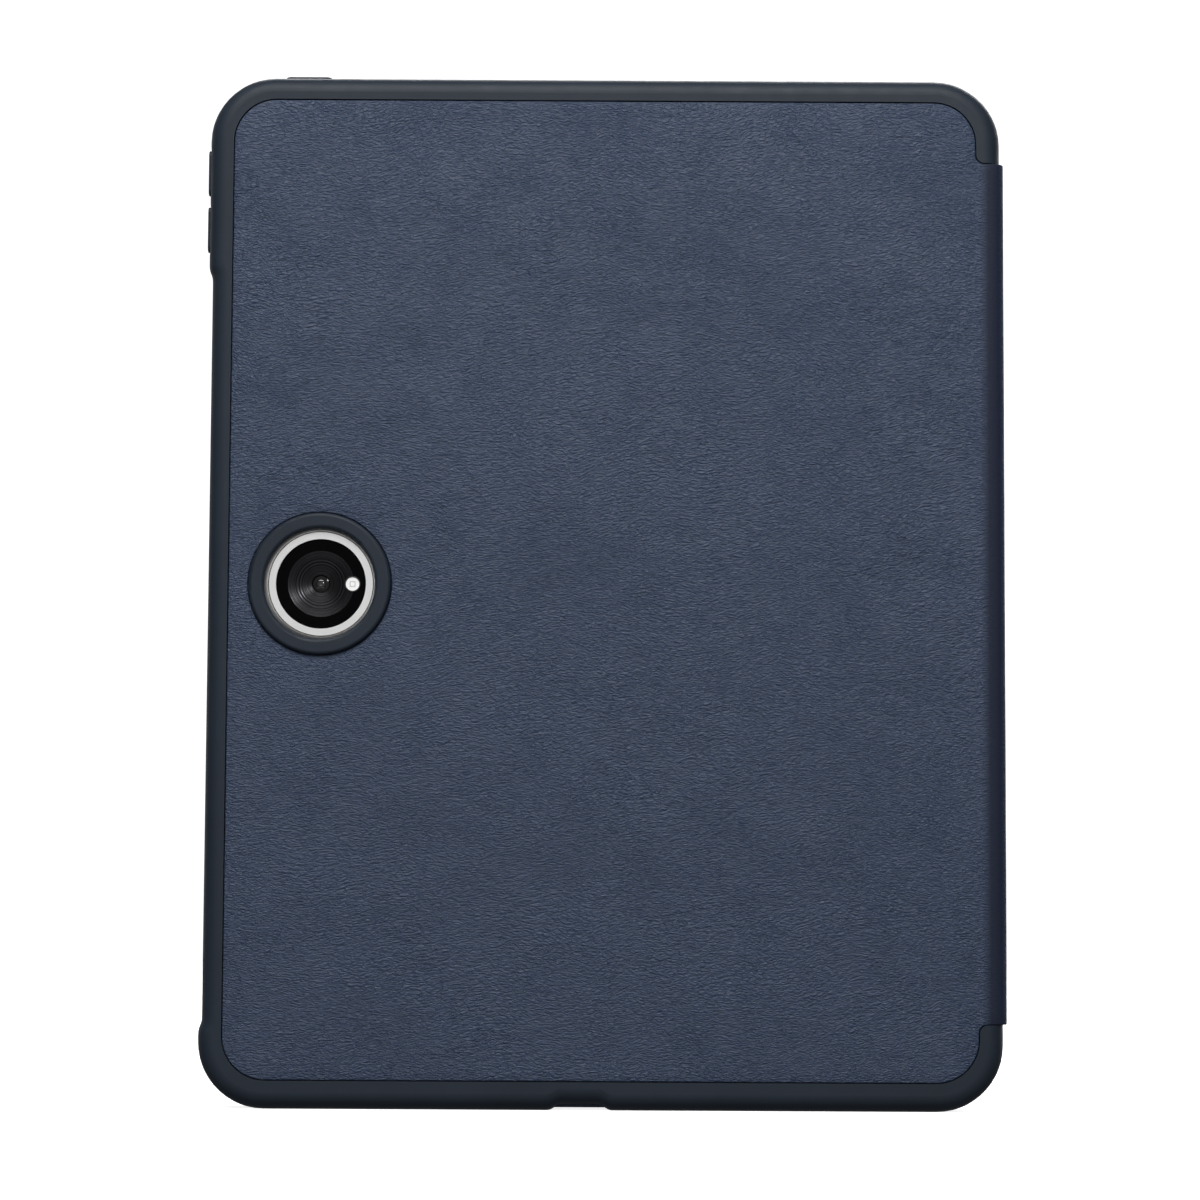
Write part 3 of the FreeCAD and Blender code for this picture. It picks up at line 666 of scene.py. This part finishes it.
lining_outer_corners = [
    (lining_edge, low_z, lining_r), (lining_outer_seam, low_z, SQUARE), (lining_outer_seam, high_z, SQUARE),
    (lining_edge, high_z, lining_r),
]
lining_outer = wrap_skin(
    "lining_cover_outer", lining_path, [outline(lining_outer_corners)], 0.4, looks["lining"],
    fine=[(lining_outer_seam - 4, lining_outer_seam)], seams=[lining_outer_seam], round_r=0.25, relief=0.03,
    step=3.0, emboss=(2.2, 0.1))
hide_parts("cover_lining_outer")

lining_middle_corners = [
    (lining_outer_seam, low_z, SQUARE), (lining_inner_seam, low_z, SQUARE),
    (lining_inner_seam, high_z, SQUARE), (lining_outer_seam, high_z, SQUARE),
]
lining_middle = wrap_skin(
    "lining_cover_middle", lining_path, [outline(lining_middle_corners)], 0.4, looks["lining"],
    fine=[(lining_inner_seam - 4, lining_inner_seam)], seams=[lining_outer_seam, lining_inner_seam],
    round_r=0.25, relief=0.03, step=3.0)
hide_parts("cover_lining_middle")

lining_inner_corners = [
    (lining_inner_seam, low_z, SQUARE), (lining_hinge, low_z, lining_r),
    (lining_hinge, tongue_low + 0.4, 1.5),
    (lining_spine_seam, tongue_low + 0.4, SQUARE), (lining_spine_seam, tongue_high - 0.4, SQUARE),
    (lining_hinge, tongue_high - 0.4, 1.5), (lining_hinge, high_z, lining_r),
    (lining_inner_seam, high_z, SQUARE),
]
lining_inner = wrap_skin(
    "lining_cover_inner", lining_path, [outline(lining_inner_corners)], 0.4, looks["lining"],
    fine=[(lining_hinge - 1, lining_spine_seam)], seams=[lining_inner_seam, lining_spine_seam],
    round_r=0.25, relief=0.03, step=3.0)
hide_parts("cover_lining_inner")

lining_spine_corners = [
    (lining_spine_seam, tongue_low + 0.4, SQUARE), (lining_end, tongue_low + 0.4, 0.5),
    (lining_end, tongue_high - 0.4, 0.5), (lining_spine_seam, tongue_high - 0.4, SQUARE),
]
lining_spine = wrap_skin(
    "lining_spine", lining_path, [outline(lining_spine_corners)], 0.35, looks["lining"],
    fine=[(lining_end - 8, lining_end)], seams=[lining_spine_seam], round_r=0.2, relief=0.02, step=2.5)
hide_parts("spine_lining")


def bend(piece):
    """Bake a piece's placement into its mesh."""
    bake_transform(piece)


bend(leather_back)
bend(leather_inner)
for piece, near, away, fold_x, y in (
        (leather_middle, "cover_inner", "cover_middle", fold_inner_x, front_y),
        (leather_outer, "cover_middle", "cover_outer", fold_outer_x, front_y),
        (lining_outer, "cover_middle", "cover_outer", fold_outer_x, lining_y),
        (lining_middle, "cover_inner", "cover_middle", fold_inner_x, lining_y)):
    bend(piece)
bend(lining_inner)
bend(lining_spine)


def flat_area(corners, hole=0.0):
    """Area in square metres of an outline, less a round hole."""
    loop = outline(corners)
    twice = sum(a.x * b.y - b.x * a.y for a, b in zip(loop, loop[1:] + loop[:1]))
    return (abs(twice) / 2 - math.pi * hole * hole) * MM * MM


flat_area(back_corners, guard_hole_r)
flat_area(inner_corners)
flat_area(outer_corners)
for piece, corners, board in (
        (lining_outer, lining_outer_corners, "cover_board_outer"),
        (lining_middle, lining_middle_corners, "cover_board_middle"),
        (lining_inner, lining_inner_corners, "cover_board_inner"),
        (lining_spine, lining_spine_corners, "spine_board")):
    flat_area(corners)


# ---- camera details ---------------------------------------------------------------------------------
def turned(name, x, z, profile, material, slot, segments=96, gap=None):
    """A profile of (radius, y) turned round an axis along Y. gap is (x, z, radius) of a round opening."""
    vertices, faces = [], []
    closed = profile[0] == profile[-1]
    rows = profile[:-1] if closed else profile
    covered = set()
    for r, y in rows:
        for k in range(segments):
            t = -2 * math.pi * k / segments
            px, pz = x + r * math.cos(t), z + r * math.sin(t)
            if gap:
                away = math.hypot(px - gap[0], pz - gap[1])
                if away < gap[2]:
                    covered.add(len(vertices))
                    px = gap[0] + (px - gap[0]) * gap[2] / max(away, 0.01)
                    pz = gap[1] + (pz - gap[1]) * gap[2] / max(away, 0.01)
            vertices.append((px, y, pz))
    for i in range(len(rows) if closed else len(rows) - 1):
        j = (i + 1) % len(rows)
        for k in range(segments):
            m = (k + 1) % segments
            quad = (i * segments + k, i * segments + m, j * segments + m, j * segments + k)
            if not covered.issuperset(quad):
                faces.append(quad)
    return add_piece(name, vertices, faces, material)


spun = Look("spun_disc", (0.02, 0.02, 0.022), 0.24, 1.0)
spun_rings = spun.ring_noise(camera_x, camera_z, 2.6)
dark_ring, light_ring = (0.006, 0.006, 0.007), (0.046, 0.046, 0.049)
spun.set("Base Color", spun.mix(spun.span(spun_rings, 0.3, 0.7), dark_ring, light_ring))
spun.set("Roughness", spun.span(spun_rings, 0.3, 0.7, 0.34, 0.2))
groove_in, groove_out, groove_pitch, groove_deep = 2.32, 8.3, 0.16, 0.030
groove_profile = [(groove_in, window_y + 0.02)]
radius = groove_in
while radius < groove_out:
    groove_profile.append((radius, window_y - 0.01))
    groove_profile.append((radius + groove_pitch * 0.85, window_y - 0.01 - groove_deep))
    radius += groove_pitch
groove_profile += [(radius, window_y - 0.01), (radius + 0.05, window_y + 0.02)]
disc = turned("camera_spun_disc", camera_x, camera_z, groove_profile, spun.material, "camera_window", 288,
              (flash_x, camera_z, 1.9))
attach(disc, "shell")
rim_look = moulded("flash_rim_plastic", (0.012, 0.012, 0.013), (0.02, 0.02, 0.021), 0.35, 0.002, 8.0)
flash_well = turned("camera_flash_rim", flash_x, camera_z, [
    (1.72, window_y + 0.1), (1.72, window_y - 0.07), (1.86, window_y - 0.1), (1.98, window_y - 0.07),
    (2.02, window_y + 0.02), (1.72, window_y + 0.1)], rim_look, "camera_window", 64)
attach(flash_well, "shell")

line_look = moulded("trim_line", (0.035, 0.025, 0.022), (0.06, 0.045, 0.04), 0.5, 0.002, 8.0)
line_y = trim_low.y
trim_line = turned("camera_trim_line", camera_x, camera_z, [
    (13.12, line_y + 0.06), (13.16, line_y - 0.03), (13.4, line_y - 0.03), (13.46, line_y + 0.06),
    (13.12, line_y + 0.06)], line_look, "camera_trim", 160)
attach(trim_line, "shell")

pupil_look = moulded("lens_element", (0.001, 0.001, 0.0015), (0.002, 0.002, 0.003), 0.04, 0.0001, 2.0,
                     Specular_IOR_Level=1.0)
pupil_ball, pupil_r, pupil_y = 3.3, 1.12, window_y - 0.05
pupil_profile = [(0.01, window_y + 0.3)]
for i in range(12, 0, -1):
    r = pupil_r * i / 12
    pupil_profile.append((r, pupil_y + pupil_ball - math.sqrt(pupil_ball ** 2 - r ** 2)))
pupil_profile += [(0.01, pupil_y), (0.01, window_y + 0.3)]
pupil = turned("camera_lens_element", camera_x, camera_z, pupil_profile[::-1], pupil_look, "lens_glass", 48)
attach(pupil, "shell")


# ---- studio -----------------------------------------------------------------------------------------
WORLD_BASE, WORLD_LOW, WORLD_HIGH = 0.12, 0.28, 0.60


def studio():
    """Round pale sweep, soft lights and the camera, in metres."""
    paper = Look("pale_paper", (0.9, 0.9, 0.9), 0.9, Specular_IOR_Level=0.1, Emission_Color=(1, 1, 1, 1),
                 Emission_Strength=0.85)
    at = paper.object_mm()
    paper.set("Base Color", paper.mix(paper.noise(at, 0.004, 2.0), (0.9, 0.9, 0.9), (0.92, 0.92, 0.92)))
    flat_r, bend_r, top = 2.0, 0.6, 1.5
    rows = [(0.02, 0.0)] + [(flat_r * i / 8, 0.0) for i in range(1, 9)]
    rows += [(flat_r + bend_r * math.sin(t * math.pi / 24), bend_r - bend_r * math.cos(t * math.pi / 24))
             for t in range(1, 13)]
    rows.append((flat_r + bend_r, top))
    vertices, faces, around = [], [], 96
    for r, z in rows:
        vertices += [(r * math.cos(2 * math.pi * k / around), r * math.sin(2 * math.pi * k / around), z)
                     for k in range(around)]
    for i in range(len(rows) - 1):
        for k in range(around):
            m = (k + 1) % around
            faces.append((i * around + k, i * around + m, (i + 1) * around + m, (i + 1) * around + k))
    faces.append(tuple(range(around)))
    mesh = bpy.data.meshes.new("sweep")
    mesh.from_pydata(vertices, [], faces)
    shade(mesh, 60)
    mesh.materials.append(paper.material)
    sweep = bpy.data.objects.new("sweep", mesh)
    scene.collection.objects.link(sweep)
    sweep.visible_diffuse = sweep.visible_glossy = False

    world = bpy.data.worlds.new("studio")
    scene.world = world
    world.use_nodes = True
    tree = world.node_tree

    def add(kind, **settings):
        made = tree.nodes.new("ShaderNode" + kind)
        for key, value in settings.items():
            setattr(made, key, value)
        return made

    way = add("TexCoord").outputs["Generated"]
    parts = add("SeparateXYZ")
    tree.links.new(way, parts.inputs[0])
    across = add("Math", operation="ABSOLUTE")
    tree.links.new(parts.outputs["Y"], across.inputs[0])
    facing = add("Math", operation="POWER")
    tree.links.new(across.outputs[0], facing.inputs[0])
    facing.inputs[1].default_value = 4.0
    rising = add("MapRange")
    for key, value in (("From Min", -0.5), ("From Max", 0.8), ("To Min", WORLD_LOW), ("To Max", WORLD_HIGH)):
        rising.inputs[key].default_value = value
    tree.links.new(parts.outputs["Z"], rising.inputs["Value"])
    level = add("Math", operation="MULTIPLY_ADD")
    tree.links.new(facing.outputs[0], level.inputs[0])
    tree.links.new(rising.outputs[0], level.inputs[1])
    level.inputs[2].default_value = WORLD_BASE
    background = tree.nodes["Background"]
    background.inputs["Color"].default_value = (0.97, 0.98, 1.0, 1)
    tree.links.new(level.outputs[0], background.inputs["Strength"])

    def area(name, place, target, size, watts, tint=(1, 1, 1)):
        data = bpy.data.lights.new(name, "AREA")
        data.shape = "RECTANGLE"
        data.size, data.size_y = size
        data.energy = watts
        data.color = tint
        light = bpy.data.objects.new(name, data)
        scene.collection.objects.link(light)
        light.location = place
        light.rotation_mode = "QUATERNION"
        light.rotation_quaternion = (Vector(target) - Vector(place)).to_track_quat("-Z", "Y")
        light.visible_camera = False

    middle = (0, 0, 0.13)
    area("key", (-0.08, -0.75, 1.0), middle, (1.0, 0.6), 12.8)
    area("accent", (0.26, -1.08, 0.47), (-0.07, 0, 0.13), (0.09, 0.09), 0.9)
    area("kicker", (-0.16, -0.8, 0.03), (-0.07, 0, 0.13), (0.3, 0.04), 0.12)
    area("back_key", (0.2, 1.1, 1.1), middle, (1.2, 0.7), 16)
    area("rim_right", (1.2, 1.1, 0.5), middle, (0.5, 1.2), 4.5)
    area("rim_left", (-1.2, 1.1, 0.5), middle, (0.5, 1.2), 1.5)
    area("top", (0.0, -0.1, 1.4), (0, 0, 0), (1.2, 0.8), 0.3)

    lens = bpy.data.cameras.new("camera")
    lens.lens, lens.sensor_width = 103.5, 36.0
    lens.clip_start, lens.clip_end = 0.05, 20
    camera = bpy.data.objects.new("camera", lens)
    scene.collection.objects.link(camera)
    yaw, pitch, roll = (math.radians(a) for a in (0.055, 4.930, 0.300))
    forward = Vector((math.sin(yaw) * math.cos(pitch), math.cos(yaw) * math.cos(pitch), math.sin(pitch)))
    right = Vector((math.cos(yaw), -math.sin(yaw), 0))
    up = right.cross(forward)
    side = right * math.cos(roll) + up * math.sin(roll)
    upright = up * math.cos(roll) - right * math.sin(roll)
    turn = Matrix((side, upright, -forward)).transposed()
    camera.matrix_world = Matrix.Translation((-0.0017, -0.8783, 0.0532)) @ turn.to_4x4()
    scene.camera = camera
    scene.view_settings.view_transform = "Standard"


studio()
